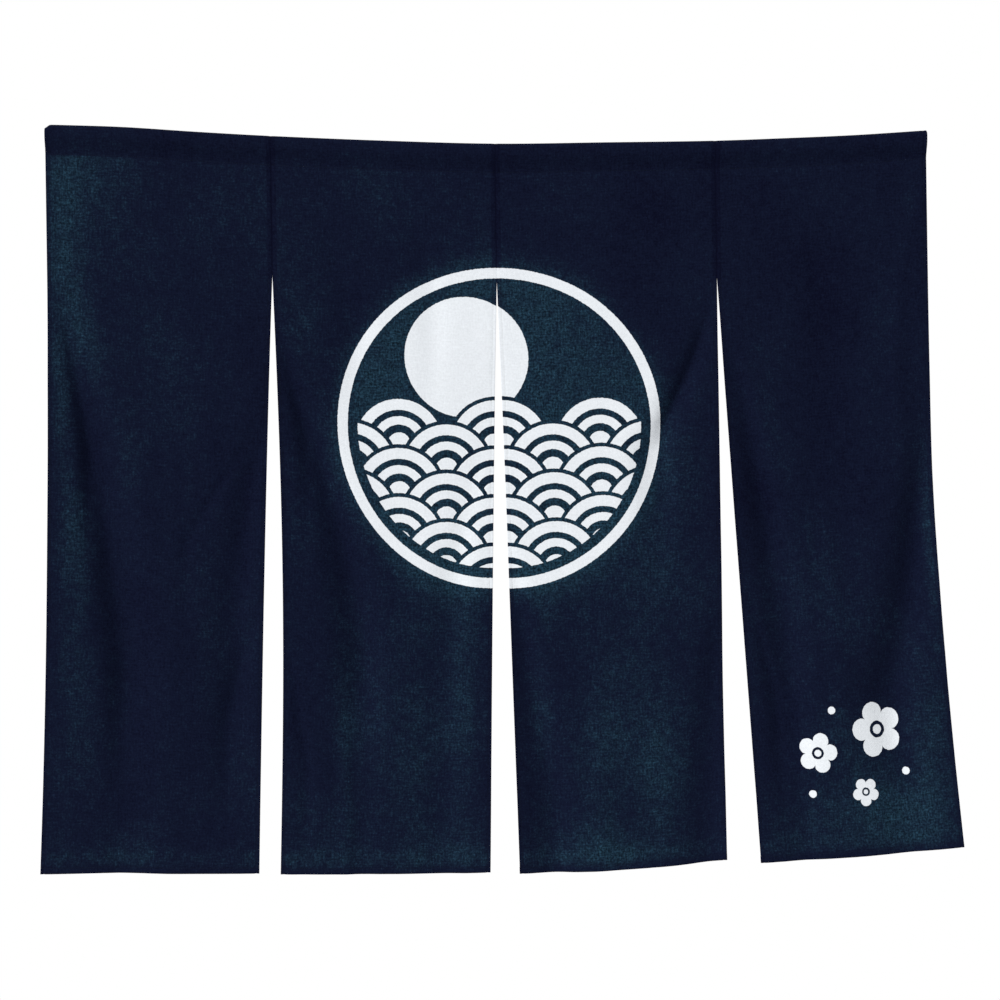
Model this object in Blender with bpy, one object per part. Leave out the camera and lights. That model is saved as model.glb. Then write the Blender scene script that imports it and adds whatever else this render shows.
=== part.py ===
"""A four-panel noren: a split doorway curtain of indigo cotton.

Four loom widths of cloth are seamed side by side for the first 225 mm below the top and hang
free below that, so that three slits are left to walk through. The top of each width is turned
over to the back and sewn down as a pocket, which is open at both ends. The curtain hangs in
the shallow sag of the line or slender rod that the pocket is threaded on.

Metres, +Z up, +X to the viewer's right, +Y away from the viewer. The origin is on the crest of
the top fold, at the middle seam.
"""

import math
from collections import namedtuple

import bmesh
import bpy
from mathutils import Vector

# The cut and the sewing
PANEL_WIDTH = 0.360
CLOTH_LENGTH = 1.200
CLOTH = 0.0012
SEAM_LENGTH = 0.225
SEAM_GAP = 0.0003
POCKET_HEIGHT = 0.048
POCKET_DEPTH = 0.018
HEM_HEIGHT = 0.011
SIDE_HEM = 0.007
HEM_EXTRA = 0.0010
FOLD_STEP = 0.0006

# The grid of each panel
COLUMNS = 15
ROWS = 21
POCKET_ARC_STEPS = 4

# Where the outer edges and the three seams hang: the inner widths are drawn out by 1 %
HUNG_SEAMS = (-0.720, -0.363, 0.000, 0.364, 0.720)

# How the cloth leaves its sewn top and takes up its folds
POCKET_TO_FOLDS = 0.14
SLIT_TO_FREE = 0.20
NARROW_SHARE = 0.45
STEEP_SHARE = 0.70
FADE_LENGTH = 0.25
PROBE = 0.0005

# The crest of the top fold: how high it lies at each distance from the middle seam
TopPoint = namedtuple("TopPoint", "across height")
TOP_LINE = (
    TopPoint(-0.720, 0.0290),
    TopPoint(-0.600, 0.0255),
    TopPoint(-0.480, 0.0180),
    TopPoint(-0.360, 0.0115),
    TopPoint(-0.180, 0.0045),
    TopPoint(0.000, 0.0000),
    TopPoint(0.180, 0.0025),
    TopPoint(0.360, 0.0055),
    TopPoint(0.480, 0.0100),
    TopPoint(0.600, 0.0155),
    TopPoint(0.720, 0.0235),
)

# A free side edge: how far its foot swings out, along what power of the way down, and its bow
Edge = namedtuple("Edge", "swing power bow")

# A soft trough in the cloth. Its line runs through three points, given as the share of the
# panel's width and the drop from the top fold. Depth is to the back, and less than 0 is a ridge.
# Steep is the side on which it falls off sooner, -1 for the left one, and foot is the share of
# its depth that is left below its low point.
Fold = namedtuple(
    "Fold", "top_at top_drop mid_at mid_drop low_at low_drop half_width depth steep foot")

Panel = namedtuple("Panel", "name left right left_lift right_lift hem_bow belly foot folds")

PANELS = (
    Panel(
        name="panel_outer_left",
        left=Edge(swing=-0.0240, power=2.0, bow=0.000),
        right=Edge(swing=-0.0350, power=0.9, bow=-0.001),
        left_lift=0.0055,
        right_lift=0.0130,
        hem_bow=0.001,
        belly=-0.007,
        foot=-0.004,
        folds=(
            Fold(0.07, 0.28, 0.24, 0.58, 0.37, 0.86, 0.046, 0.019, -1, 0.20),
            Fold(0.99, 0.45, 0.90, 0.64, 0.88, 0.90, 0.038, 0.009, 1, 0.00),
            Fold(0.55, 0.60, 0.56, 0.85, 0.57, 1.10, 0.044, -0.002, 0, 0.80),
        ),
    ),
    Panel(
        name="panel_inner_left",
        left=Edge(swing=-0.0010, power=1.0, bow=0.0095),
        right=Edge(swing=-0.0240, power=0.9, bow=0.000),
        left_lift=0.0085,
        right_lift=0.0125,
        hem_bow=0.000,
        belly=0.005,
        foot=0.006,
        folds=(
            Fold(0.01, 0.33, 0.23, 0.57, 0.38, 0.83, 0.040, 0.018, 1, 0.20),
            Fold(0.94, 0.50, 0.80, 0.76, 0.77, 1.06, 0.046, 0.006, 1, 0.70),
            Fold(0.16, 0.10, 0.27, 0.19, 0.36, 0.30, 0.030, 0.004, 0, 0.00),
        ),
    ),
    Panel(
        name="panel_inner_right",
        left=Edge(swing=0.0230, power=0.9, bow=0.000),
        right=Edge(swing=0.0020, power=1.0, bow=-0.002),
        left_lift=0.0110,
        right_lift=0.0165,
        hem_bow=0.004,
        belly=-0.004,
        foot=-0.007,
        folds=(
            Fold(0.99, 0.25, 0.88, 0.37, 0.70, 0.51, 0.032, 0.010, 1, 0.00),
            Fold(0.00, 0.66, 0.09, 0.89, 0.17, 1.09, 0.042, 0.013, 1, 0.70),
            Fold(1.00, 0.74, 0.96, 0.93, 0.92, 1.10, 0.042, 0.011, 1, 0.80),
        ),
    ),
    Panel(
        name="panel_outer_right",
        left=Edge(swing=0.0600, power=1.0, bow=0.001),
        right=Edge(swing=0.0490, power=2.0, bow=0.000),
        left_lift=0.0085,
        right_lift=0.0060,
        hem_bow=0.001,
        belly=0.004,
        foot=0.003,
        folds=(
            Fold(0.02, 0.31, 0.15, 0.57, 0.22, 0.82, 0.040, 0.017, 1, 0.40),
            Fold(0.97, 0.45, 0.91, 0.67, 0.74, 0.92, 0.050, 0.020, 1, 0.40),
            Fold(0.46, 0.14, 0.50, 0.34, 0.52, 0.56, 0.060, 0.005, 0, 0.30),
        ),
    ),
)


def smooth(low, high, value):
    """Rises softly from 0 at low to 1 at high."""
    share = min(1.0, max(0.0, (value - low) / (high - low)))
    return share * share * (3.0 - 2.0 * share)


def mix(start, end, share):
    return start + (end - start) * share


def top_height(across):
    """The crest's height, on a smooth curve through the points of TOP_LINE."""
    last = len(TOP_LINE) - 1
    span = 0
    while span < last - 1 and across > TOP_LINE[span + 1].across:
        span += 1
    near, far = TOP_LINE[span], TOP_LINE[span + 1]
    before = TOP_LINE[max(0, span - 1)]
    after = TOP_LINE[min(last, span + 2)]
    width = far.across - near.across
    near_slope = (far.height - before.height) / (far.across - before.across) * width
    far_slope = (after.height - near.height) / (after.across - near.across) * width
    t = (across - near.across) / width
    return (
        (2 * t**3 - 3 * t**2 + 1) * near.height
        + (t**3 - 2 * t**2 + t) * near_slope
        + (3 * t**2 - 2 * t**3) * far.height
        + (t**3 - t**2) * far_slope
    )


def edge_shift(edge, down):
    """How far a side edge has moved sideways, at a share of the way from slit top to hem."""
    return edge.swing * down**edge.power + edge.bow * math.sin(math.pi * down)


def fold_line(fold, drop):
    """Where a fold lies across the panel, on a parabola through its three points."""
    drop = min(fold.low_drop, max(fold.top_drop, drop))
    top, mid, low = fold.top_drop, fold.mid_drop, fold.low_drop
    return (
        fold.top_at * (drop - mid) * (drop - low) / ((top - mid) * (top - low))
        + fold.mid_at * (drop - top) * (drop - low) / ((mid - top) * (mid - low))
        + fold.low_at * (drop - top) * (drop - mid) / ((low - top) * (low - mid))
    )


def fold_depth(fold, at, drop):
    """A fold's depth at a point: a trough that opens and widens on its way down, and then eases."""
    start = fold.top_drop - 0.3 * (fold.mid_drop - fold.top_drop)
    opened = smooth(start, fold.mid_drop, drop)
    eased = mix(1.0, fold.foot, smooth(fold.low_drop, fold.low_drop + FADE_LENGTH, drop))
    widened = mix(NARROW_SHARE, 1.0, smooth(start, fold.low_drop, drop))
    off = (at - fold_line(fold, drop)) * PANEL_WIDTH
    width = fold.half_width * widened * (STEEP_SHARE if off * fold.steep > 0 else 1.0)
    return fold.depth * opened * eased * widened**0.6 * math.exp(-((off / width) ** 2))


def hung_depth(panel, at, drop):
    """How far behind the plane of the curtain the middle of the cloth lies."""
    depth = sum(fold_depth(fold, at, drop) for fold in panel.folds)
    fall = smooth(POCKET_HEIGHT, CLOTH_LENGTH, drop)
    depth += panel.belly * math.sin(math.pi * fall) + panel.foot * fall
    pinned = math.sin(math.pi * min(1.0, max(0.0, at)))
    free = smooth(SEAM_LENGTH, SEAM_LENGTH + SLIT_TO_FREE, drop)
    leaves_pocket = smooth(POCKET_HEIGHT, POCKET_HEIGHT + POCKET_TO_FOLDS, drop)
    return depth * leaves_pocket * mix(pinned, 1.0, free)


def hung_point(panel, seams, at, drop):
    """A point of the cloth's middle, at a share of the width and a drop from the top fold."""
    down = max(0.0, (drop - SEAM_LENGTH) / (CLOTH_LENGTH - SEAM_LENGTH))
    top_x = mix(seams[0] + SEAM_GAP / 2, seams[1] - SEAM_GAP / 2, at)
    x = top_x + mix(edge_shift(panel.left, down), edge_shift(panel.right, down), at)
    lift = mix(panel.left_lift, panel.right_lift, at)
    lift -= panel.hem_bow * math.sin(math.pi * min(1.0, max(0.0, at)))
    z = top_height(top_x) - drop + lift * down * down
    return Vector((x, hung_depth(panel, at, drop), z))


def hang(panel, seams, flat):
    """Moves a point of the flat panel (across, offset to the back, minus drop) to where it hangs."""
    at, drop = flat.x / PANEL_WIDTH, -flat.z
    step = PROBE / PANEL_WIDTH
    sideways = hung_point(panel, seams, at + step, drop) - hung_point(panel, seams, at - step, drop)
    downward = hung_point(panel, seams, at, drop + PROBE) - hung_point(panel, seams, at, drop - PROBE)
    to_back = sideways.cross(downward).normalized()
    return hung_point(panel, seams, at, drop) + to_back * flat.y


def pocket_side(wall):
    """Half of the pocket's section, from the sewing line up to the crest, as (offset, drop).

    wall is 0 for the outer face and the cloth's thickness for the inner one.
    """
    radius = POCKET_DEPTH / 2 - wall
    centre = POCKET_DEPTH / 2
    closing = (0.80, 0.58, 0.36)
    side = []
    for share in closing:
        drop = mix(centre, POCKET_HEIGHT, share)
        closed = smooth(0.15, 1.0, share)
        side.append((mix(POCKET_DEPTH / 2, CLOTH / 2, closed) - wall, drop))
    for step in range(POCKET_ARC_STEPS):
        angle = 0.5 * math.pi * step / POCKET_ARC_STEPS
        side.append((radius * math.cos(angle), centre - radius * math.sin(angle)))
    return side


def row_drops():
    """The drops of the panel's rows, from the sewing line to the lower edge."""
    hem_top = CLOTH_LENGTH - HEM_HEIGHT
    start = POCKET_HEIGHT + FOLD_STEP
    drops = [start + (hem_top - FOLD_STEP - start) * row / ROWS for row in range(ROWS + 1)]
    return drops + [hem_top, CLOTH_LENGTH]


def column_places():
    """The places of the panel's columns, from its left edge to its right one."""
    first, last = SIDE_HEM + FOLD_STEP, PANEL_WIDTH - SIDE_HEM - FOLD_STEP
    inner = [first + (last - first) * column / COLUMNS for column in range(COLUMNS + 1)]
    return [0.0, SIDE_HEM, *inner, PANEL_WIDTH - SIDE_HEM, PANEL_WIDTH]


def flat_section(bm):
    """The cloth's section at its left edge: the pocket's ring, and the single layer below it."""
    def point(offset, drop):
        return bm.verts.new((0.0, offset, -drop))

    front_sewn = point(-CLOTH / 2, POCKET_HEIGHT)
    back_sewn = point(CLOTH / 2 + HEM_EXTRA, POCKET_HEIGHT)
    outer_side, inner_side = pocket_side(0.0), pocket_side(CLOTH)
    outer = [point(-offset, drop) for offset, drop in outer_side]
    outer.append(point(0.0, 0.0))
    outer += [point(offset, drop) for offset, drop in reversed(outer_side)]
    inner = [point(-offset, drop) for offset, drop in inner_side]
    inner.append(point(0.0, CLOTH))
    inner += [point(offset, drop) for offset, drop in reversed(inner_side)]
    pocket_foot = point(HEM_EXTRA / 2, POCKET_HEIGHT - 2 * CLOTH)

    faces = [
        (front_sewn, outer[0], inner[0], pocket_foot),
        (pocket_foot, inner[-1], outer[-1], back_sewn),
        (front_sewn, pocket_foot, back_sewn),
    ]
    for step in range(len(outer) - 1):
        faces.append((outer[step], outer[step + 1], inner[step + 1], inner[step]))
    front, back = front_sewn, back_sewn
    for drop in row_drops():
        next_front, next_back = point(-CLOTH / 2, drop), point(CLOTH / 2, drop)
        faces.append((front, back, next_back, next_front))
        front, back = next_front, next_back
    return [bm.faces.new(corners) for corners in faces]


def thicken_hems(bm):
    """Adds the cloth that the side hems and the lower hem turn over to the back."""
    for vert in bm.verts:
        across, offset, drop = vert.co.x, vert.co.y, -vert.co.z
        below_pocket = drop > POCKET_HEIGHT + FOLD_STEP / 2
        in_side_hem = min(across, PANEL_WIDTH - across) < SIDE_HEM + FOLD_STEP / 2
        in_lower_hem = drop > CLOTH_LENGTH - HEM_HEIGHT - FOLD_STEP / 2
        if offset > 0 and below_pocket and (in_side_hem or in_lower_hem):
            vert.co.y += HEM_EXTRA


def fold_bend(panel, corner, opposite, middle_depth):
    """How far the middle of a line between two corners of a flat face misses the hung cloth."""
    ends = [hung_depth(panel, vert.co.x / PANEL_WIDTH, -vert.co.z) for vert in (corner, opposite)]
    return abs(sum(ends) / 2 - middle_depth)


def split_along_folds(bm, panel):
    """Cuts each four-sided face of the flat cloth in two, along the diagonal that lies in it when
    it hangs. Front and back are cut alike, so the cloth keeps its thickness."""
    for face in list(bm.faces):
        spans_across = len({round(vert.co.x, 6) for vert in face.verts}) == 2
        spans_down = len({round(vert.co.z, 6) for vert in face.verts}) == 2
        if len(face.verts) != 4 or not (spans_across and spans_down):
            continue
        middle = face.calc_center_median()
        depth = hung_depth(panel, middle.x / PANEL_WIDTH, -middle.z)
        first, second, third, fourth = face.verts
        if fold_bend(panel, first, third, depth) < fold_bend(panel, second, fourth, depth):
            bmesh.utils.face_split(face, first, third)
        else:
            bmesh.utils.face_split(face, second, fourth)


def dyed_cotton():
    """The one cloth that every panel is cut from."""
    material = bpy.data.materials.new("indigo_cotton")
    material.use_nodes = True
    shader = material.node_tree.nodes["Principled BSDF"]
    shader.inputs["Base Color"].default_value = (0.008, 0.012, 0.030, 1.0)
    shader.inputs["Roughness"].default_value = 0.92
    shader.inputs["Metallic"].default_value = 0.0
    return material


def make_panel(panel, seams, material):
    """One width of cloth, laid out flat with its pocket turned over, and then hung."""
    bm = bmesh.new()
    end = flat_section(bm)
    places = column_places()
    for near, far in zip(places, places[1:]):
        end = bmesh.ops.extrude_face_region(bm, geom=end)["geom"]
        new_verts = [item for item in end if isinstance(item, bmesh.types.BMVert)]
        bmesh.ops.translate(bm, vec=(far - near, 0.0, 0.0), verts=new_verts)
    split_along_folds(bm, panel)
    thicken_hems(bm)
    for vert in bm.verts:
        vert.co = hang(panel, seams, vert.co)
    bmesh.ops.recalc_face_normals(bm, faces=bm.faces)
    mesh = bpy.data.meshes.new(panel.name)
    bm.to_mesh(mesh)
    bm.free()
    mesh.materials.append(material)
    mesh.shade_smooth()
    mesh.set_sharp_from_angle(angle=math.radians(40))
    bpy.context.scene.collection.objects.link(bpy.data.objects.new(panel.name, mesh))


def main():
    for old in list(bpy.data.objects):
        bpy.data.objects.remove(old)
    cotton = dyed_cotton()
    for index, panel in enumerate(PANELS):
        make_panel(panel, HUNG_SEAMS[index:index + 2], cotton)


main()
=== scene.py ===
"""A split doorway curtain of resist-dyed indigo cotton, hanging from the pocket along its top."""

import math
from collections import namedtuple

import bmesh
import bpy
from mathutils import Matrix, Vector, noise


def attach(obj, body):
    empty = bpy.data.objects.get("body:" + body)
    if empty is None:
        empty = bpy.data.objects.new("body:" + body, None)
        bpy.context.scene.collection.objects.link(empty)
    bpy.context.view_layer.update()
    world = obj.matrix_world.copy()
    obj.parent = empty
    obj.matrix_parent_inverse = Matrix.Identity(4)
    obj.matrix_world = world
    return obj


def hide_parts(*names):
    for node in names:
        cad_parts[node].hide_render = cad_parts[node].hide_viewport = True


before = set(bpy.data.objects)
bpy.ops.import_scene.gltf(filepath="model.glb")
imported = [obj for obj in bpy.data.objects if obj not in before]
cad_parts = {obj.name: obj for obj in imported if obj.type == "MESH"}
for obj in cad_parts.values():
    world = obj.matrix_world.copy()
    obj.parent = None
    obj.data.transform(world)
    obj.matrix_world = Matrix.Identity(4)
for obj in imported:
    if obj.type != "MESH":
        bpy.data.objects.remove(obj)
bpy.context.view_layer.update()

# How the curtain hangs
# Four loom widths of cotton are seamed edge to edge for the first 225 mm and hang free below.
# The line that they hang from sags, the free edges swing apart, and soft folds run down from the
# slit tops and the outer edges to the middle of each width.
PANEL_WIDTH = 0.360
HUNG_SEAMS = (-0.720, -0.363, 0.000, 0.364, 0.720)
CLOTH_LENGTH = 1.200
SEAM_LENGTH = 0.225
SEAM_OVERLAP = 0.0001
POCKET_HEIGHT = 0.048
POCKET_DEPTH = 0.018
POCKET_TO_FOLDS = 0.14
SLIT_TO_FREE = 0.20
NARROW_SHARE = 0.45
STEEP_SHARE = 0.70
FADE_LENGTH = 0.25
EARLY_START = 0.3
WIDENING_POWER = 0.6
PROBE = 0.0005

TopPoint = namedtuple("TopPoint", "across height")
TOP_LINE = (
    TopPoint(-0.720, 0.0290),
    TopPoint(-0.600, 0.0255),
    TopPoint(-0.480, 0.0180),
    TopPoint(-0.360, 0.0115),
    TopPoint(-0.180, 0.0045),
    TopPoint(0.000, 0.0000),
    TopPoint(0.180, 0.0025),
    TopPoint(0.360, 0.0055),
    TopPoint(0.480, 0.0100),
    TopPoint(0.600, 0.0155),
    TopPoint(0.720, 0.0235),
)

Edge = namedtuple("Edge", "swing power bow")
# A trough's line runs through three points, and steep is the side on which it falls off sooner,
# -1 for the left one. Foot is the share of its depth that is left below its low point.
Fold = namedtuple(
    "Fold", "top_at top_drop mid_at mid_drop low_at low_drop half_width depth steep foot")
Panel = namedtuple("Panel", "name left right left_lift right_lift hem_bow belly foot folds creases")

PANELS = (
    Panel(
        name="outer_left",
        left=Edge(swing=-0.0240, power=2.0, bow=0.000),
        right=Edge(swing=-0.0350, power=0.9, bow=-0.001),
        left_lift=0.0055,
        right_lift=0.0130,
        hem_bow=0.001,
        belly=-0.007,
        foot=-0.004,
        folds=(
            Fold(0.07, 0.28, 0.24, 0.58, 0.37, 0.86, 0.046, 0.019, -1, 0.20),
            Fold(0.99, 0.45, 0.90, 0.64, 0.88, 0.90, 0.038, 0.009, 1, 0.00),
            Fold(0.55, 0.60, 0.56, 0.85, 0.57, 1.10, 0.044, -0.002, 0, 0.80),
        ),
        creases=(
            Fold(0.05, 0.26, 0.11, 0.38, 0.18, 0.52, 0.012, 0.0036, 0, 0.00),
            Fold(0.96, 0.46, 0.80, 0.56, 0.64, 0.66, 0.014, 0.0020, 1, 0.00),
            Fold(1.00, 0.74, 0.91, 0.85, 0.84, 0.95, 0.020, 0.0036, 1, 0.00),
        ),
    ),
    Panel(
        name="inner_left",
        left=Edge(swing=-0.0010, power=1.0, bow=0.0095),
        right=Edge(swing=-0.0240, power=0.9, bow=0.000),
        left_lift=0.0085,
        right_lift=0.0125,
        hem_bow=0.000,
        belly=0.005,
        foot=0.006,
        folds=(
            Fold(0.01, 0.33, 0.23, 0.57, 0.38, 0.83, 0.040, 0.018, 1, 0.20),
            Fold(0.94, 0.50, 0.80, 0.76, 0.77, 1.06, 0.046, 0.006, 1, 0.70),
            Fold(0.16, 0.10, 0.27, 0.19, 0.36, 0.30, 0.030, 0.004, 0, 0.00),
        ),
        creases=(
            Fold(0.55, 0.07, 0.66, 0.16, 0.71, 0.27, 0.020, 0.0028, 0, 0.00),
            Fold(0.01, 0.28, 0.06, 0.38, 0.12, 0.48, 0.012, 0.0030, 0, 0.00),
            Fold(0.02, 0.82, 0.07, 0.92, 0.12, 1.02, 0.014, 0.0035, 1, 0.00),
            Fold(0.28, 0.92, 0.30, 1.02, 0.31, 1.15, 0.014, -0.0024, 0, 0.30),
        ),
    ),
    Panel(
        name="inner_right",
        left=Edge(swing=0.0230, power=0.9, bow=0.000),
        right=Edge(swing=0.0020, power=1.0, bow=-0.002),
        left_lift=0.0110,
        right_lift=0.0165,
        hem_bow=0.004,
        belly=-0.004,
        foot=-0.007,
        folds=(
            Fold(0.99, 0.25, 0.88, 0.37, 0.70, 0.51, 0.032, 0.010, 1, 0.00),
            Fold(0.00, 0.66, 0.09, 0.89, 0.17, 1.09, 0.042, 0.013, 1, 0.70),
            Fold(1.00, 0.74, 0.96, 0.93, 0.92, 1.10, 0.042, 0.011, 1, 0.80),
        ),
        creases=(
            Fold(0.80, 0.10, 0.88, 0.18, 0.93, 0.28, 0.018, 0.0022, 0, 0.00),
            Fold(0.985, 0.24, 0.885, 0.36, 0.745, 0.465, 0.012, 0.0050, 0, 0.00),
            Fold(0.40, 0.88, 0.40, 1.00, 0.39, 1.14, 0.024, -0.0026, 0, 0.30),
        ),
    ),
    Panel(
        name="outer_right",
        left=Edge(swing=0.0600, power=1.0, bow=0.001),
        right=Edge(swing=0.0490, power=2.0, bow=0.000),
        left_lift=0.0085,
        right_lift=0.0060,
        hem_bow=0.001,
        belly=0.004,
        foot=0.003,
        folds=(
            Fold(0.02, 0.31, 0.15, 0.57, 0.22, 0.82, 0.040, 0.017, 1, 0.40),
            Fold(0.97, 0.45, 0.91, 0.67, 0.74, 0.92, 0.050, 0.020, 1, 0.40),
            Fold(0.46, 0.14, 0.50, 0.34, 0.52, 0.56, 0.060, 0.005, 0, 0.30),
        ),
        creases=(
            Fold(0.95, 0.10, 0.88, 0.22, 0.84, 0.36, 0.016, -0.0022, 0, 0.00),
            Fold(0.06, 0.30, 0.16, 0.48, 0.22, 0.64, 0.014, -0.0020, 0, 0.00),
            Fold(0.04, 0.76, 0.10, 0.85, 0.14, 0.94, 0.016, 0.0035, 1, 0.00),
            Fold(0.44, 0.56, 0.46, 0.72, 0.46, 0.92, 0.024, -0.0022, 0, 0.30),
        ),
    ),
)


def smooth(low, high, value):
    """Rises softly from 0 at low to 1 at high."""
    share = min(1.0, max(0.0, (value - low) / (high - low)))
    return share * share * (3.0 - 2.0 * share)


def mix(start, end, share):
    return start + (end - start) * share


def bell(distance, width):
    """1 on a line, easing to 0 at about twice the width from it."""
    return math.exp(-((distance / width) ** 2))


def top_height(across):
    """The crest's height, on a smooth curve through the points of TOP_LINE."""
    last = len(TOP_LINE) - 1
    span = 0
    while span < last - 1 and across > TOP_LINE[span + 1].across:
        span += 1
    near, far = TOP_LINE[span], TOP_LINE[span + 1]
    before = TOP_LINE[max(0, span - 1)]
    after = TOP_LINE[min(last, span + 2)]
    width = far.across - near.across
    near_slope = (far.height - before.height) / (far.across - before.across) * width
    far_slope = (after.height - near.height) / (after.across - near.across) * width
    t = (across - near.across) / width
    return (
        (2 * t**3 - 3 * t**2 + 1) * near.height
        + (t**3 - 2 * t**2 + t) * near_slope
        + (3 * t**2 - 2 * t**3) * far.height
        + (t**3 - t**2) * far_slope
    )


def edge_shift(edge, down):
    """How far a side edge has moved sideways, at a share of the way from slit top to hem."""
    return edge.swing * down**edge.power + edge.bow * math.sin(math.pi * down)


def fold_line(fold, drop):
    """Where a fold lies across the panel, on a parabola through its three points."""
    drop = min(fold.low_drop, max(fold.top_drop, drop))
    top, mid, low = fold.top_drop, fold.mid_drop, fold.low_drop
    return (
        fold.top_at * (drop - mid) * (drop - low) / ((top - mid) * (top - low))
        + fold.mid_at * (drop - top) * (drop - low) / ((mid - top) * (mid - low))
        + fold.low_at * (drop - top) * (drop - mid) / ((low - top) * (low - mid))
    )


def fold_depth(fold, at, drop):
    """A fold's depth at a point: a trough that opens and widens on its way down, and then eases."""
    start = fold.top_drop - EARLY_START * (fold.mid_drop - fold.top_drop)
    if drop <= start:
        return 0.0
    opened = smooth(start, fold.mid_drop, drop)
    eased = mix(1.0, fold.foot, smooth(fold.low_drop, fold.low_drop + FADE_LENGTH, drop))
    widened = mix(NARROW_SHARE, 1.0, smooth(start, fold.low_drop, drop))
    off = (at - fold_line(fold, drop)) * PANEL_WIDTH
    width = fold.half_width * widened * (STEEP_SHARE if off * fold.steep > 0 else 1.0)
    return fold.depth * opened * eased * widened**WIDENING_POWER * bell(off, width)


# The cloth is never quite flat: it has long shallow waves and a finer crumple.
LONG_WAVE = 0.0016
LONG_WAVES_PER_METRE = Vector((9.0, 4.0, 0.0))
CRUMPLE = 0.00045
CRUMPLES_PER_METRE = Vector((38.0, 17.0, 0.0))


def unevenness(seams, at, drop):
    flat = Vector((seams[0] + at * PANEL_WIDTH, drop, 0.0))
    return (
        LONG_WAVE * noise.noise(flat * LONG_WAVES_PER_METRE)
        + CRUMPLE * noise.noise(flat * CRUMPLES_PER_METRE + Vector((0.0, 0.0, 7.0)))
    )


def hung_depth(panel, seams, at, drop):
    """How far behind the plane of the curtain the middle of the cloth lies."""
    depth = sum(fold_depth(fold, at, drop) for fold in panel.folds + panel.creases)
    fall = smooth(POCKET_HEIGHT, CLOTH_LENGTH, drop)
    depth += panel.belly * math.sin(math.pi * fall) + panel.foot * fall
    depth += unevenness(seams, at, drop)
    pinned = math.sin(math.pi * min(1.0, max(0.0, at)))
    free = smooth(SEAM_LENGTH, SEAM_LENGTH + SLIT_TO_FREE, drop)
    leaves_pocket = smooth(POCKET_HEIGHT, POCKET_HEIGHT + POCKET_TO_FOLDS, drop)
    return depth * leaves_pocket * mix(pinned, 1.0, free)


def hung_point(panel, seams, at, drop):
    """A point of the cloth's middle, at a share of the width and a drop from the top fold."""
    down = max(0.0, (drop - SEAM_LENGTH) / (CLOTH_LENGTH - SEAM_LENGTH))
    top_x = mix(seams[0], seams[1], at)
    x = top_x + mix(edge_shift(panel.left, down), edge_shift(panel.right, down), at)
    lift = mix(panel.left_lift, panel.right_lift, at)
    lift -= panel.hem_bow * math.sin(math.pi * min(1.0, max(0.0, at)))
    z = top_height(top_x) - drop + lift * down * down
    return Vector((x, hung_depth(panel, seams, at, drop), z))


def hang(panel, seams, across, offset, drop):
    """Where a place on the flat panel hangs, with the directions sideways, down and to the back."""
    at, step = across / PANEL_WIDTH, PROBE / PANEL_WIDTH
    left, right = (hung_point(panel, seams, at + side * step, drop) for side in (-1, 1))
    above, below = (hung_point(panel, seams, at, drop + side * PROBE) for side in (-1, 1))
    sideways, downward = right - left, below - above
    to_back = sideways.cross(downward).normalized()
    place = hung_point(panel, seams, at, drop) + to_back * offset
    return place, sideways.normalized(), downward.normalized(), to_back


# The four widths of cloth
# Each is one length of cotton. Its long edges are turned to the back, its foot is turned up twice
# as an 11 mm hem, and its top runs over to the back and is sewn down, turned under, as a pocket.
# Its face lies where the 1.2 mm solid has its own.
CLOTH = 0.0004
PLY = 0.00046
SOLID_CLOTH = 0.0012
FRONT = -SOLID_CLOTH / 2 + CLOTH / 2
HEM_HEIGHT = 0.011
HEM_TUCK = 0.009
SIDE_HEM = 0.007
POCKET_LIP = 0.0010
POCKET_TUCK = 0.008
POCKET_CLOSES_FROM = 0.15
POCKET_CLOSING = (POCKET_HEIGHT - 0.012, POCKET_HEIGHT - 0.002)
GRID = 0.0048
TURN_STEPS = 4
CREST_STEPS = 12
SEWN_DENT = 0.00025
SEWN_DENT_WIDTH = 0.0016
SIDE_DENT_WIDTH = 0.0014
SEAM_GROOVE = 0.0004
SEAM_GROOVE_WIDTH = 0.0030
PUCKER = 0.00050
PUCKER_REACH = 0.010
HEM_PUCKER_REACH = 0.008
SIDE_PUCKER_REACH = 0.007
SOFTER_PUCKER = 0.6
PUCKERS_PER_METRE = 75.0
POCKET_SEWING = POCKET_HEIGHT - 0.0012
HEM_SEWING = CLOTH_LENGTH - HEM_HEIGHT + 0.0015
SIDE_SEWING = SIDE_HEM - 0.0015
CORNER_SAG = 0.0055
CORNER_REACH = 0.0050
FOLD_GRID = 0.004
HEM_GRID = 0.003
BESIDE_SEWING = (0.0012, 0.0028)
CLEAR_OF_SEWING = 0.0042

# A row of the cloth, from the hem's hidden raw edge up the front and over the top to the
# pocket's. Inward is the direction to the cloth's inner side, and run is the length of cloth.
Row = namedtuple("Row", "offset drop inward_offset inward_drop corner_plies run plies")
# A column of the cloth, from one tucked edge round the fold and over to the other.
Column = namedtuple("Column", "across tuck folded run")


def spaced(start, end, spacing):
    """Even steps from start to end, both included, at most spacing apart."""
    steps = max(1, math.ceil(abs(end - start) / spacing))
    return [mix(start, end, step / steps) for step in range(steps + 1)]


def near_sewing(places, line):
    """Adds places on a line of sewing and close beside it, where the cloth dips."""
    close = [line + side * reach for reach in BESIDE_SEWING for side in (-1, 1)] + [line]
    kept = [place for place in places if abs(place - line) > CLEAR_OF_SEWING]
    low, high = min(places), max(places)
    rising = places[0] < places[-1]
    return sorted(kept + [place for place in close if low < place < high], reverse=not rising)


def turned(centre_offset, centre_drop, radius, start, end, steps):
    """Places round a fold, as (offset, drop, inward offset, inward drop)."""
    for step in range(steps + 1):
        angle = mix(start, end, step / steps)
        cosine, sine = math.cos(angle), math.sin(angle)
        yield (centre_offset + radius * cosine, centre_drop + radius * sine, -cosine, -sine)


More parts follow.
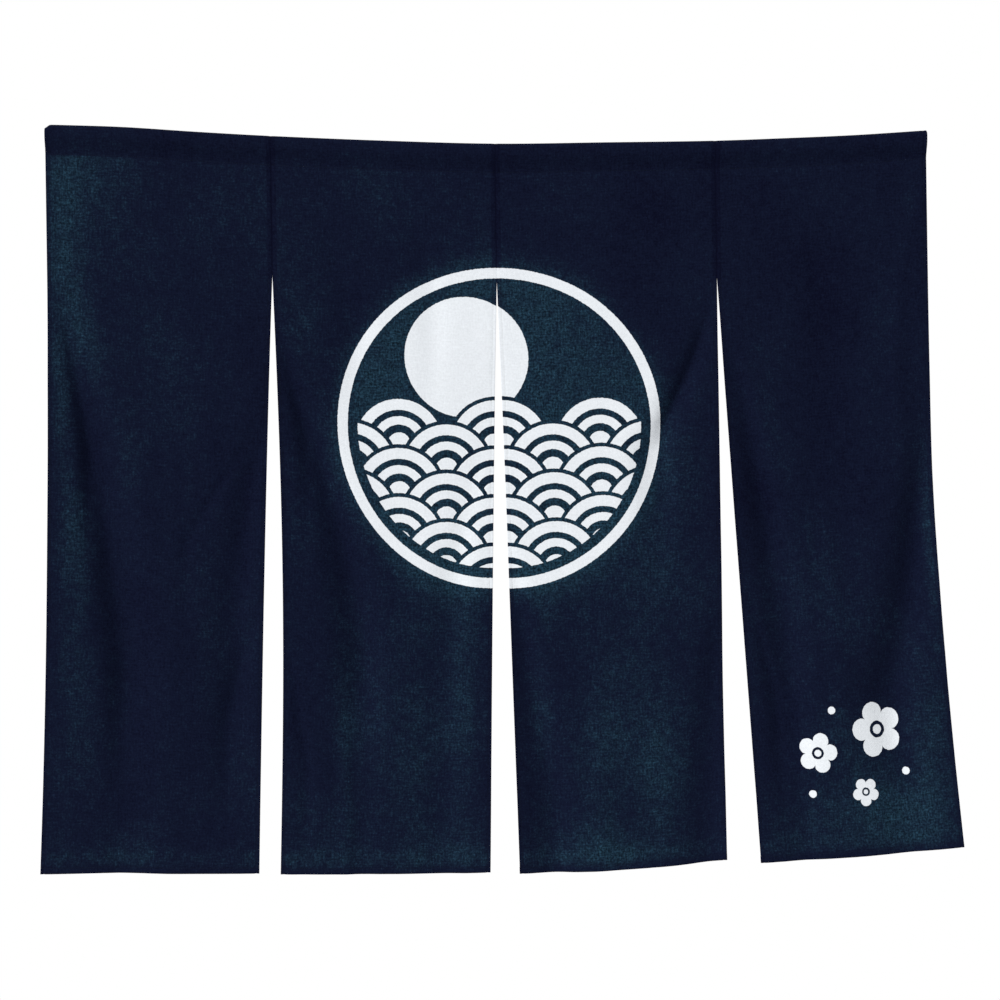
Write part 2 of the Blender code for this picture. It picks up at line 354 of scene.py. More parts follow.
def pocket_wall(drop, side):
    """The offset of the pocket's front or back wall, which close on the sewing line."""
    radius = POCKET_DEPTH / 2 - CLOTH / 2
    foot = FRONT if side < 0 else FRONT + 2 * PLY
    share = (drop - POCKET_DEPTH / 2) / (POCKET_HEIGHT - POCKET_DEPTH / 2)
    return mix(side * radius, foot, smooth(POCKET_CLOSES_FROM, 1.0, share))


def cloth_rows():
    """All the rows of one width of cloth."""
    hem_top = CLOTH_LENGTH - HEM_HEIGHT
    radius = POCKET_DEPTH / 2 - CLOTH / 2
    crest = POCKET_DEPTH / 2
    lip = POCKET_HEIGHT + POCKET_LIP
    path = []

    def lay(offset, drop, inward_offset, inward_drop, corner_plies, plies):
        path.append((offset, drop, inward_offset, inward_drop, corner_plies, plies))

    for drop in spaced(hem_top + HEM_TUCK, hem_top + PLY, FOLD_GRID):
        lay(FRONT + PLY, drop, 1, 0, 1, 3)
    for step, place in enumerate(turned(FRONT + 1.5 * PLY, hem_top + PLY / 2, PLY / 2,
                                        math.pi, 2 * math.pi, TURN_STEPS)):
        lay(*place, mix(1, 3, step / TURN_STEPS), 3)
    for drop in near_sewing(spaced(hem_top + PLY, CLOTH_LENGTH - 2 * PLY, HEM_GRID), HEM_SEWING):
        lay(FRONT + 2 * PLY, drop, -1, 0, 3, 3)
    for step, place in enumerate(turned(FRONT + PLY, CLOTH_LENGTH - PLY, PLY, 0, math.pi, 6)):
        lay(*place, mix(3, 0, step / 6), 3)
    hem_front = near_sewing(spaced(CLOTH_LENGTH - 2 * PLY, hem_top - 0.0005, HEM_GRID), HEM_SEWING)
    for drop in hem_front:
        lay(FRONT, drop, 1, 0, 0, 3)
    for drop in spaced(hem_top - 0.0015, lip + 0.0005, GRID):
        lay(FRONT, drop, 1, 0, 0, 1)
    for drop in near_sewing(spaced(lip - 0.0005, crest, FOLD_GRID), POCKET_SEWING):
        lay(pocket_wall(drop, -1), drop, 1, 0, 0, 2)
    for place in list(turned(0, crest, radius, math.pi, 2 * math.pi, CREST_STEPS))[1:-1]:
        lay(*place, 0, 2)
    for drop in near_sewing(spaced(crest, lip - PLY, FOLD_GRID), POCKET_SEWING):
        stacked = 3 * smooth(*POCKET_CLOSING, drop)
        lay(pocket_wall(drop, 1), drop, -1, 0, stacked, 2)
    for step, place in enumerate(turned(FRONT + 1.5 * PLY, lip - PLY / 2, PLY / 2,
                                        0, math.pi, TURN_STEPS)):
        lay(*place, mix(3, 1, step / TURN_STEPS), 2)
    for drop in spaced(lip - PLY, lip - POCKET_TUCK, HEM_GRID):
        stacked = smooth(*POCKET_CLOSING, drop)
        lay(pocket_wall(drop, 1) - PLY, drop, 1, 0, stacked, 2)

    kept = [path[0]]
    for place in path[1:]:
        if math.dist(place[:2], kept[-1][:2]) > 0.00005:
            kept.append(place)
    front_start = next(index for index, place in enumerate(kept) if place[5] == 1)
    run = [0.0]
    for before, after in zip(kept, kept[1:]):
        run.append(run[-1] + math.dist(before[:2], after[:2]))
    level = run[front_start] + kept[front_start][1]
    return [Row(*place[:5], level - length, place[5]) for place, length in zip(kept, run)]


def cloth_columns():
    """All the columns of one width of cloth, its right half mirrored from the left."""
    radius = PLY / 2
    rim = -SEAM_OVERLAP / 2 + CLOTH / 2
    left = [Column(across, PLY, 1.0, -across) for across in spaced(SIDE_HEM, rim + PLY, 0.0030)]
    for offset, _, _, _ in turned(0, 0, 1, math.pi, 0, TURN_STEPS):
        turn = math.acos(max(-1.0, min(1.0, offset)))
        left.append(Column(rim + radius - radius * math.sin(turn),
                           radius - radius * math.cos(turn), 1.0, rim))
    flat = spaced(rim + PLY, PANEL_WIDTH / 2, GRID)
    edge = [rim + PLY, 0.0018, 0.0034, SIDE_SEWING - 0.0008, SIDE_SEWING, SIDE_SEWING + 0.0008,
            SIDE_HEM, SIDE_HEM + 0.0010, 0.0105]
    flat = edge + [across for across in flat if across > edge[-1] + GRID / 2]
    for across in flat:
        folded = 1.0 - smooth(SIDE_HEM - 0.0002, SIDE_HEM + 0.0010, across)
        left.append(Column(across, 0.0, folded, across))
    right = [Column(PANEL_WIDTH - c.across, c.tuck, c.folded, PANEL_WIDTH - c.run)
             for c in reversed(left[:-1])]
    return left + right


def by_outer_edge(seams, column):
    """Whether the nearer long edge is the curtain's own, and not a seam or a slit."""
    return abs(seams[0] + column.across) > 1.5 * PANEL_WIDTH


def sewing_dip(seams, column, row):
    """How far the cloth dips to its inner side along sewing, with the puckers beside it."""
    edge = min(column.across, PANEL_WIDTH - column.across)
    free = row.drop > SEAM_LENGTH
    outer = by_outer_edge(seams, column)
    dip = SEWN_DENT * bell(row.drop - POCKET_SEWING, SEWN_DENT_WIDTH)
    dip += SEWN_DENT * bell(row.drop - HEM_SEWING, SEWN_DENT_WIDTH)
    if column.tuck == 0.0 and (free or outer):
        dip += SEWN_DENT * bell(edge - SIDE_SEWING, SIDE_DENT_WIDTH)
    if not outer:
        dip += SEAM_GROOVE * bell(edge, SEAM_GROOVE_WIDTH) * (1 - smooth(0.20, 0.24, row.drop))
    along = (seams[0] + column.across) * PUCKERS_PER_METRE
    pucker = noise.noise(Vector((along, 0.0, 3.0))) * bell(row.drop - POCKET_SEWING, PUCKER_REACH)
    at_hem = bell(row.drop - HEM_SEWING, HEM_PUCKER_REACH)
    pucker += SOFTER_PUCKER * noise.noise(Vector((along, 5.0, 3.0))) * at_hem
    down = row.drop * PUCKERS_PER_METRE
    side = noise.noise(Vector((down, seams[0], 9.0))) * bell(edge - SIDE_SEWING, SIDE_PUCKER_REACH)
    return dip + PUCKER * (pucker + (SOFTER_PUCKER * side if free or outer else 0.0))


def place_cloth(panel, seams, column, row):
    """Where a crossing of a row and a column of the cloth ends up."""
    inward = column.tuck + sewing_dip(seams, column, row)
    offset = row.offset + row.inward_offset * inward + row.corner_plies * column.folded * PLY
    drop = row.drop + row.inward_drop * inward
    if seams[0] == HUNG_SEAMS[0]:
        sag = CORNER_SAG * bell(max(0.0, column.across), CORNER_REACH)
        drop += sag * (1.0 - smooth(0.0, POCKET_SEWING, row.drop))
    return hang(panel, seams, column.across, offset, drop)[0]


# Painted light and shade: soft patches on each width, lighter where the tone is above 0 and
# darker where it is below, laid on the folds where the cloth catches the light or falls into
# shade. A patch leans sideways by its lean, as a share of the width, over its half length.
Patch = namedtuple("Patch", "at drop half_width half_length lean tone")
PAINTED_LIGHT_AND_SHADE_PATCHES = {
    "outer_left": (
        Patch(0.07, 0.16, 0.040, 0.150, 0.00, 0.60),
        Patch(0.10, 0.07, 0.060, 0.050, 0.00, 0.20),
        Patch(0.27, 0.12, 0.060, 0.090, 0.00, 0.24),
        Patch(0.16, 0.33, 0.028, 0.110, 0.05, 0.50),
        Patch(0.05, 0.42, 0.018, 0.120, 0.02, 0.42),
        Patch(0.12, 0.66, 0.028, 0.150, 0.03, 0.52),
        Patch(0.34, 0.48, 0.034, 0.100, 0.04, 0.26),
        Patch(0.15, 0.90, 0.030, 0.120, 0.03, 0.30),
        Patch(0.55, 0.20, 0.090, 0.120, 0.00, 0.12),
        Patch(0.30, 1.15, 0.100, 0.045, 0.00, 0.16),
        Patch(0.93, 0.34, 0.024, 0.160, 0.00, -0.10),
        Patch(0.50, 1.00, 0.060, 0.160, 0.00, -0.12),
        Patch(0.71, 0.92, 0.044, 0.140, 0.00, 0.14),
    ),
    "inner_left": (
        Patch(0.12, 0.30, 0.050, 0.120, 0.00, 0.22),
        Patch(0.30, 0.99, 0.022, 0.100, 0.01, 0.36),
        Patch(0.86, 0.90, 0.030, 0.240, 0.01, 0.26),
        Patch(0.26, 1.14, 0.050, 0.050, 0.00, 0.28),
        Patch(0.80, 1.15, 0.060, 0.040, 0.00, 0.22),
        Patch(0.60, 0.74, 0.110, 0.150, 0.00, 0.34),
        Patch(0.66, 1.04, 0.090, 0.150, 0.00, 0.34),
        Patch(0.95, 0.16, 0.050, 0.060, 0.00, 0.10),
    ),
    "inner_right": (
        Patch(0.66, 0.12, 0.110, 0.090, 0.00, -0.26),
        Patch(0.46, 1.02, 0.060, 0.150, -0.02, 0.38),
        Patch(0.42, 1.16, 0.080, 0.040, 0.00, 0.34),
        Patch(0.70, 1.04, 0.060, 0.120, 0.00, 0.46),
        Patch(0.50, 0.74, 0.140, 0.160, 0.00, 0.34),
        Patch(0.76, 0.56, 0.050, 0.110, 0.00, 0.26),
        Patch(0.14, 0.72, 0.030, 0.100, 0.04, 0.30),
        Patch(0.13, 0.96, 0.024, 0.110, 0.01, 0.40),
    ),
    "outer_right": (
        Patch(0.50, 0.22, 0.180, 0.160, 0.00, -0.26),
        Patch(0.46, 0.46, 0.100, 0.120, 0.00, -0.10),
        Patch(0.90, 0.11, 0.022, 0.060, -0.02, 0.34),
        Patch(0.78, 0.28, 0.030, 0.080, -0.02, 0.30),
        Patch(0.22, 0.46, 0.022, 0.120, 0.06, 0.22),
        Patch(0.97, 0.68, 0.014, 0.140, 0.01, 0.46),
        Patch(0.40, 0.70, 0.060, 0.120, 0.00, 0.06),
        Patch(0.46, 1.02, 0.080, 0.100, 0.00, 0.50),
        Patch(0.90, 1.00, 0.040, 0.150, 0.01, 0.48),
        Patch(0.62, 1.13, 0.110, 0.055, 0.00, 0.60),
        Patch(0.18, 1.14, 0.050, 0.050, 0.00, 0.10),
    ),
}
# Painted shade along the troughs and painted light along the ridges, fading as they go down.
PAINTED_TROUGH_SHADE = -0.11
PAINTED_TROUGH_SHADE_FADE = (1.2, 0.30)
FULL_DEPTH = 0.020
SHALLOW_POWER = 0.4
# Painted light in a band just above the hem.
PAINTED_HEM_LIGHT = 0.26
PAINTED_HEM_LIGHT_HALF_HEIGHT = 0.016
EDGE_TONE = -0.45
EDGE_TONE_REACH = 0.0014
# A thin painted highlight just under the pocket's lip.
PAINTED_LIP_HIGHLIGHT = 0.10
PAINTED_LIP_HIGHLIGHT_HALF_HEIGHT = 0.0025
POCKET_SHARE = 0.30
# Painted shade where plies lie behind the face, most at the seams.
POCKET_PLY_SHADE = 0.36
SIDE_PLY_SHADE = 0.50
SEAM_PLY_SHADE = 1.00


def painted_light_and_edge_tone(panel, at, drop):
    """Painted light and shade on the dye: painted shade along the troughs and painted light along
    the ridges, painted light and shade in the patches, painted light over the hem and under the
    pocket lip, and darker right at the rims.
    """
    # Painted light in a band just above the hem.
    tone = PAINTED_HEM_LIGHT * bell(drop - (CLOTH_LENGTH - HEM_HEIGHT - 0.014), PAINTED_HEM_LIGHT_HALF_HEIGHT)
    # A thin painted highlight just under the pocket's lip.
    tone += PAINTED_LIP_HIGHLIGHT * bell(drop - (POCKET_HEIGHT + POCKET_LIP + 0.003), PAINTED_LIP_HIGHLIGHT_HALF_HEIGHT)
    nearest = min(at * PANEL_WIDTH, (1.0 - at) * PANEL_WIDTH, CLOTH_LENGTH - drop)
    tone += EDGE_TONE * bell(max(0.0, nearest), EDGE_TONE_REACH)
    # Painted shade along each trough and painted light along each ridge.
    for fold in panel.folds + panel.creases:
        size = min(1.0, abs(fold.depth) / FULL_DEPTH)
        shape = fold_depth(fold, at, drop) / fold.depth
        faded = mix(*PAINTED_TROUGH_SHADE_FADE, smooth(fold.mid_drop, fold.low_drop + 0.10, drop))
        sign = 1.0 if fold.depth > 0 else -1.0
        tone += sign * PAINTED_TROUGH_SHADE * size**SHALLOW_POWER * faded * shape
    # Painted light and shade in the listed patches.
    for patch in PAINTED_LIGHT_AND_SHADE_PATCHES[panel.name]:
        below = drop - patch.drop
        off = (at - (patch.at + patch.lean * below / patch.half_length)) * PANEL_WIDTH
        tone += patch.tone * bell(off, patch.half_width) * bell(below, patch.half_length)
    below_pocket = smooth(POCKET_HEIGHT - 0.001, POCKET_HEIGHT + 0.002, drop)
    return tone * mix(POCKET_SHARE, 1.0, below_pocket)


def doubled(seams, column, row):
    """How much painted shade darkens the cloth where plies lie behind it, as if less light came
    through: most of all where two widths are seamed.
    """
    outer = by_outer_edge(seams, column)
    joined = 0.0 if outer else 1.0 - smooth(SEAM_LENGTH - 0.002, SEAM_LENGTH + 0.004, row.drop)
    behind = POCKET_PLY_SHADE if row.plies > 1 else 0.0
    return behind + mix(SIDE_PLY_SHADE, SEAM_PLY_SHADE, joined) * column.folded


def sew_panel(panel, seams, flat_left, face, reverse):
    """One width of cloth, as a grid of rows and columns that is folded and then hung."""
    rows, columns = cloth_rows(), cloth_columns()
    across_steps, along_steps = len(columns) - 1, len(rows) - 1
    bm = bmesh.new()
    bmesh.ops.create_grid(bm, x_segments=across_steps, y_segments=along_steps, size=0.5)
    uv_layer = bm.loops.layers.uv.new("cloth")
    ply_shade_layer = bm.verts.layers.float.new("plies")
    painted_light_and_tone_layer = bm.verts.layers.float.new("painted_light_and_tone")
    on_cloth = {}
    for vert in bm.verts:
        column = columns[round((vert.co.x + 0.5) * across_steps)]
        row = rows[round((vert.co.y + 0.5) * along_steps)]
        # Painted shade where plies lie behind the face.
        vert[ply_shade_layer] = doubled(seams, column, row)
        # Painted light and shade along the folds, in the patches, over the hem and under the pocket
        # lip, and darker rims.
        vert[painted_light_and_tone_layer] = painted_light_and_edge_tone(panel, column.across / PANEL_WIDTH, row.drop)
        on_cloth[vert] = (flat_left + column.run, -row.run)
        vert.co = place_cloth(panel, seams, column, row)
    for grid_face in bm.faces:
        grid_face.smooth = True
        for loop in grid_face.loops:
            loop[uv_layer].uv = on_cloth[loop.vert]
    mesh = bpy.data.meshes.new("cloth_" + panel.name)
    bm.to_mesh(mesh)
    bm.free()
    mesh.materials.append(face)
    mesh.materials.append(reverse)
    cloth = bpy.data.objects.new("cloth_" + panel.name, mesh)
    bpy.context.scene.collection.objects.link(cloth)
    thickness = cloth.modifiers.new("thickness", "SOLIDIFY")
    thickness.thickness = CLOTH
    thickness.offset = 0.0
    thickness.material_offset = 1
    return cloth


# Dyed cotton
# A plain weave of slightly slubby yarn, dyed a deep indigo that lies unevenly, and left white
# where the resist paste kept the dye off. The colour is darker where the cloth is doubled, as
# painted shade, and painted light and shade along the folds moves it between navy and teal.
def add(tree, kind, inputs=(), **settings):
    """Adds a node with its options set and its inputs given, as values or as other outputs."""
    made = tree.nodes.new(kind)
    for option, value in settings.items():
        setattr(made, option, value)
    for key, value in inputs:
        if isinstance(value, bpy.types.NodeSocket):
            tree.links.new(value, made.inputs[key])
        else:
            made.inputs[key].default_value = value
    return made


def maths(tree, operation, *values):
    return add(tree, "ShaderNodeMath", enumerate(values), operation=operation).outputs[0]


def vectors(tree, operation, *values):
    """The outputs of a sum on vectors: Vector, or Value for a length or a distance."""
    return add(tree, "ShaderNodeVectorMath", enumerate(values), operation=operation).outputs


def scaled(tree, colour, factor):
    """A colour made lighter or darker by a factor."""
    inputs = ((0, colour), ("Scale", factor))
    return add(tree, "ShaderNodeVectorMath", inputs, operation="SCALE").outputs[0]


def remap(tree, value, low, high):
    """0 at low, rising softly to 1 at high, which may be the smaller of the two."""
    inputs = enumerate((value, low, high))
    return add(tree, "ShaderNodeMapRange", inputs, interpolation_type="SMOOTHSTEP").outputs[0]


def blend_colour(tree, share, first, second):
    inputs = ((0, share), (6, first), (7, second))
    return add(tree, "ShaderNodeMix", inputs, data_type="RGBA").outputs[2]


def cloud(tree, vector, scale, detail, roughness):
    """Soft noise over the cloth, from 0 to 1, with scale as its sizes in cycles a metre."""
    stretched = vectors(tree, "MULTIPLY", vector, scale)["Vector"]
    inputs = (("Vector", stretched), ("Scale", 1.0), ("Detail", detail), ("Roughness", roughness))
    return add(tree, "ShaderNodeTexNoise", inputs, noise_dimensions="2D").outputs["Fac"]


def new_group(name, inputs, outputs):
    """A shader node group with its sockets, as (group, its inputs, its output node)."""
    group = bpy.data.node_groups.new(name, "ShaderNodeTree")
    for title, kind in inputs:
        group.interface.new_socket(title, in_out="INPUT", socket_type=kind)
    for title, kind in outputs:
        group.interface.new_socket(title, in_out="OUTPUT", socket_type=kind)
    given = group.nodes.new("NodeGroupInput")
    result = group.nodes.new("NodeGroupOutput")
    return group, given.outputs, result.inputs


def place_group(tree, group, inputs):
    return add(tree, "ShaderNodeGroup", inputs, node_tree=group).outputs


VECTOR, FLOAT, COLOUR = "NodeSocketVector", "NodeSocketFloat", "NodeSocketColor"
WARP_SLUBS = (400.0, 62.0, 0.0)
WEFT_SLUBS = (55.0, 380.0, 0.0)
FLUFF = (270.0, 270.0, 0.0)


def plain_weave():
    """The yarns' crossings and slubs: their height, and how light each stretch of yarn came out."""
    group, given, result = new_group(
        "plain_weave", [("Cloth", VECTOR), ("Yarns per Metre", FLOAT)],
        [("Height", FLOAT), ("Yarn Tone", FLOAT), ("Crossings", FLOAT)])
    split = add(group, "ShaderNodeSeparateXYZ", [(0, given["Cloth"])])
    phase = [maths(group, "MULTIPLY", maths(group, "MULTIPLY", split.outputs[axis],
                                            given["Yarns per Metre"]), math.pi) for axis in (0, 1)]
    warp, weft = (maths(group, "SINE", angle) for angle in phase)
    over = maths(group, "MULTIPLY_ADD", maths(group, "MULTIPLY", warp, weft), 0.5, 0.5)
    under = maths(group, "SUBTRACT", 1.0, over)
    knuckles = maths(group, "MAXIMUM",
                     maths(group, "MULTIPLY", maths(group, "ABSOLUTE", warp), over),
                     maths(group, "MULTIPLY", maths(group, "ABSOLUTE", weft), under))
    warp_slub = cloud(group, given["Cloth"], WARP_SLUBS, 2.0, 0.6)
    weft_slub = cloud(group, given["Cloth"], WEFT_SLUBS, 2.0, 0.6)
    slubs = maths(group, "ADD", warp_slub, weft_slub)
    fluff = cloud(group, given["Cloth"], FLUFF, 3.0, 0.7)
    group.links.new(maths(group, "MULTIPLY_ADD", slubs, 0.6, knuckles), result["Height"])
    group.links.new(knuckles, result["Crossings"])
    tone = maths(group, "MULTIPLY_ADD", slubs, 0.5, maths(group, "MULTIPLY", fluff, 1.2))
    group.links.new(maths(group, "SUBTRACT", tone, 0.6), result["Yarn Tone"])
    return group


# The deepest blue is the dye's and also the colour of painted shade; the light teal is faded dye
# and also the colour of painted light.
DEEP_AND_SHADED_INDIGO = (0.0031, 0.0040, 0.0160, 1.0)
INDIGO = (0.0050, 0.0078, 0.0240, 1.0)
LIT_AND_FADED_INDIGO = (0.0118, 0.0345, 0.0565, 1.0)
DYE_PATCHES = (7.0, 4.5, 0.0)
DYE_MOTTLE = (60.0, 60.0, 0.0)
MEAN_TONE = 0.42
PATCH_CONTRAST = 0.8
MOTTLE_CONTRAST = 0.7
YARN_CONTRAST = 0.7
SHADE_PER_PLY = -0.30
DEEP_AND_SHADED_TONES = (-0.2, 0.50)
LIT_AND_FADED_TONES = (0.40, 1.65)
GRAIN = 0.6
LIT_AND_FADED_GRAIN = 3.0
DARKEST_GRAIN = 0.35


def indigo_dye():
    """The dyed colour: patchy on a large scale, mottled on a small one, deeper in doubled cloth as
    painted shade, and light teal where light is painted.
    """
    group, given, result = new_group(
        "indigo_dye", [("Cloth", VECTOR), ("Yarn Tone", FLOAT), ("Plies", FLOAT), ("Painted Light and Tone", FLOAT)],
        [("Color", COLOUR)])
    patches = cloud(group, given["Cloth"], DYE_PATCHES, 3.0, 0.55)
    mottle = cloud(group, given["Cloth"], DYE_MOTTLE, 4.0, 0.6)
    yarn = maths(group, "SUBTRACT", given["Yarn Tone"], 0.5)
    patches = maths(group, "SUBTRACT", patches, 0.5)
    mottle = maths(group, "SUBTRACT", mottle, 0.5)
    tone = maths(group, "MULTIPLY_ADD", patches, PATCH_CONTRAST, MEAN_TONE)
    tone = maths(group, "MULTIPLY_ADD", mottle, MOTTLE_CONTRAST, tone)
    tone = maths(group, "MULTIPLY_ADD", yarn, YARN_CONTRAST, tone)
    # Painted light and shade, with the print's halo and the reverse's lighter dye.
    tone = maths(group, "ADD", tone, given["Painted Light and Tone"])
    # Painted shade where plies lie behind the face.
    tone = maths(group, "MULTIPLY_ADD", given["Plies"], SHADE_PER_PLY, tone)
    # Low tones, partly painted shade, go deep navy; high tones, mostly painted light, go light teal
    # with coarser grain.
    deep_and_shaded = blend_colour(group, remap(group, tone, *DEEP_AND_SHADED_TONES), DEEP_AND_SHADED_INDIGO, INDIGO)
    painted_light_and_tone = remap(group, tone, *LIT_AND_FADED_TONES)
    colour = blend_colour(group, painted_light_and_tone, deep_and_shaded, LIT_AND_FADED_INDIGO)
    contrast = maths(group, "MULTIPLY_ADD", painted_light_and_tone, LIT_AND_FADED_GRAIN, GRAIN)
    grain = maths(group, "MULTIPLY_ADD", yarn, contrast, 1.0)
    grain = maths(group, "MAXIMUM", grain, DARKEST_GRAIN)
    group.links.new(scaled(group, colour, grain), result["Color"])
    return group


# The white design
# A full moon over rows of waves, inside a ring, is centred on the middle slit. Three plum
# blossoms and three loose petals fall low on the right-hand width. Paste kept the dye off them.
ROUND_CENTRE = (0.0, -0.465, 0.0)
RING_RADIUS = 0.254
RING_WIDTH = 0.017
SEA_RADIUS = 0.229
MOON_CENTRE = (-0.052, -0.348, 0.0)
MOON_RADIUS = 0.098
WAVE_RADIUS = 0.0800
TOP_WAVE_HEIGHT = -0.492
WAVE_BANDS = ((0.70, 0.92), (0.40, 0.57), (-1.0, 0.24))
Blossom = namedtuple("Blossom", "across up radius turn")
BLOSSOMS = (
    Blossom(0.588, -0.990, 0.047, 0.25),
    Blossom(0.476, -1.022, 0.034, 0.95),
    Blossom(0.556, -1.092, 0.024, 0.55),
)
LOOSE_PETALS = ((0.506, -0.952, 0.0), (0.634, -1.064, 0.0), (0.462, -1.090, 0.0))
PETAL_RADIUS = 0.0065
PETAL_ROUNDNESS = 0.55
PETAL_NOTCH = 0.58
HEART_RING = (0.17, 0.30)
BLEED = 0.0007
EDGE_WANDER = 0.0016
EDGE_WANDERS_PER_METRE = 260.0
HALO_START = RING_RADIUS - 0.010
HALO_END = RING_RADIUS + 0.080
HALO_FALL = 2.4


def inside(tree, value, limit, edge=BLEED):
    """1 where a value is below a limit, with an edge as soft as the paste left it."""
    return remap(tree, value, limit + edge / 2, limit - edge / 2)


def wave_row():
    """The distance to the nearest wave's centre in one row, in wave radii."""
    group, given, result = new_group("wave_row", [("X", FLOAT), ("Y", FLOAT), ("Row", FLOAT)],
                                     [("Distance", FLOAT)])
    shifted = maths(group, "SUBTRACT", given["X"], given["Row"])
    wrapped = maths(group, "FLOORED_MODULO", shifted, 2.0)
    sideways = maths(group, "MINIMUM", wrapped, maths(group, "SUBTRACT", 2.0, wrapped))
    upward = maths(group, "SUBTRACT", given["Y"], maths(group, "MULTIPLY", given["Row"], 0.5))
    squares = maths(group, "ADD", maths(group, "POWER", sideways, 2.0),
                    maths(group, "POWER", maths(group, "ABSOLUTE", upward), 2.0))
    above_sea = maths(group, "GREATER_THAN", given["Row"], 0.5)
    distance = maths(group, "MULTIPLY_ADD", above_sea, 9.0, maths(group, "SQRT", squares))
    group.links.new(distance, result["Distance"])
    return group


def waves(tree, x, y):
    """Rows of waves, each in front of the one above, as (white bands, where the sea is)."""
    row = wave_row()
    across = maths(tree, "DIVIDE", x, WAVE_RADIUS)
    height = maths(tree, "DIVIDE", maths(tree, "SUBTRACT", y, TOP_WAVE_HEIGHT), WAVE_RADIUS)
    low_row = maths(tree, "MULTIPLY_ADD", maths(tree, "SUBTRACT", height, 1.0), 2.0, 1.0)
    low_row = maths(tree, "FLOOR", low_row)
    distance = None
    for step in (2, 1, 0):
        number = maths(tree, "ADD", low_row, float(step))
        found = place_group(tree, row, (("X", across), ("Y", height), ("Row", number)))[0]
        if distance is None:
            distance = found
            continue
        hit = maths(tree, "LESS_THAN", found, 1.0)
        distance = maths(tree, "ADD", maths(tree, "MULTIPLY", hit, found),
                         maths(tree, "MULTIPLY", maths(tree, "SUBTRACT", 1.0, hit), distance))
    soft = BLEED / WAVE_RADIUS
    bands = 0.0
    for inner, outer in WAVE_BANDS:
        band = maths(tree, "SUBTRACT", inside(tree, distance, outer, soft),
                     inside(tree, distance, inner, soft))
        bands = maths(tree, "ADD", bands, band)
    return bands, inside(tree, distance, 1.0, soft)


def blossom(tree, point, flower):
    """A plum blossom: five round petals, with a dark ring round its light heart."""
    centre = (flower.across, flower.up, 0.0)
    out = vectors(tree, "SUBTRACT", point, centre)["Vector"]
    split = add(tree, "ShaderNodeSeparateXYZ", [(0, out)]).outputs
    radius = vectors(tree, "LENGTH", out)["Value"]
    angle = maths(tree, "ADD", maths(tree, "ARCTAN2", split[0], split[1]), flower.turn)
    petals = maths(tree, "ABSOLUTE", maths(tree, "COSINE", maths(tree, "MULTIPLY", angle, 2.5)))
    rounded = maths(tree, "POWER", petals, PETAL_ROUNDNESS)
    rim = maths(tree, "MULTIPLY_ADD", rounded, 1.0 - PETAL_NOTCH, PETAL_NOTCH)
    share = maths(tree, "DIVIDE", radius, flower.radius)
    soft = BLEED / flower.radius
    whole = inside(tree, maths(tree, "SUBTRACT", share, rim), 0.0, soft)
    inner, outer = (inside(tree, share, edge, soft) for edge in HEART_RING)
    ring = maths(tree, "SUBTRACT", outer, inner)
    return maths(tree, "SUBTRACT", whole, ring)


def resist_design():
    """Where the cloth stayed white, and how close the dye beside it came out lighter."""
    group, given, result = new_group("resist_design", [("Cloth", VECTOR)],
                                     [("White", FLOAT), ("Halo", FLOAT)])
    noise_inputs = (("Vector", given["Cloth"]), ("Scale", EDGE_WANDERS_PER_METRE), ("Detail", 2.0))
    wander = add(group, "ShaderNodeTexNoise", noise_inputs, noise_dimensions="2D").outputs["Color"]
    shift = vectors(group, "SUBTRACT", wander, (0.5, 0.5, 0.5))["Vector"]
    shift = vectors(group, "MULTIPLY", shift, (EDGE_WANDER, EDGE_WANDER, 0.0))["Vector"]
    point = vectors(group, "ADD", given["Cloth"], shift)["Vector"]
    split = add(group, "ShaderNodeSeparateXYZ", [(0, point)]).outputs
    flat = add(group, "ShaderNodeCombineXYZ", ((0, split[0]), (1, split[1]))).outputs[0]
    from_centre = vectors(group, "DISTANCE", flat, ROUND_CENTRE)["Value"]
    off_ring = maths(group, "ABSOLUTE", maths(group, "SUBTRACT", from_centre, RING_RADIUS))
    ring = inside(group, off_ring, RING_WIDTH / 2)
    in_sea = inside(group, from_centre, SEA_RADIUS)
    bands, sea = waves(group, split[0], split[1])
    from_moon = vectors(group, "DISTANCE", flat, MOON_CENTRE)["Value"]
    moon = maths(group, "MULTIPLY", inside(group, from_moon, MOON_RADIUS),
                 maths(group, "SUBTRACT", 1.0, sea))
    picture = maths(group, "MULTIPLY", maths(group, "MAXIMUM", bands, moon), in_sea)
    white = maths(group, "MAXIMUM", ring, picture)
    for flower in BLOSSOMS:
        white = maths(group, "MAXIMUM", white, blossom(group, flat, flower))
    for centre in LOOSE_PETALS:
        off = vectors(group, "DISTANCE", flat, centre)["Value"]
        white = maths(group, "MAXIMUM", white, inside(group, off, PETAL_RADIUS))
    group.links.new(white, result["White"])
    near = remap(group, from_centre, HALO_END, HALO_START)
    group.links.new(maths(group, "POWER", near, HALO_FALL), result["Halo"])
    return group


UNDYED = (0.840, 0.882, 0.935, 1.0)
UNDYED_REVERSE = (0.520, 0.570, 0.640, 1.0)
YARNS_PER_METRE = 1400.0
# Painted shade in the weave's gaps and painted light on its crossings, for white and dyed cloth.
WHITE_GAP_SHADE = 0.92
WHITE_CROSSING_LIGHT = 0.13
WHITE_YARN = 0.90
WHITE_YARN_CONTRAST = 0.20
DYED_GAP_SHADE = 0.70
DYED_CROSSING_LIGHT = 0.50
HALO_WEAR = 0.72
REVERSE_WEAR = 0.12


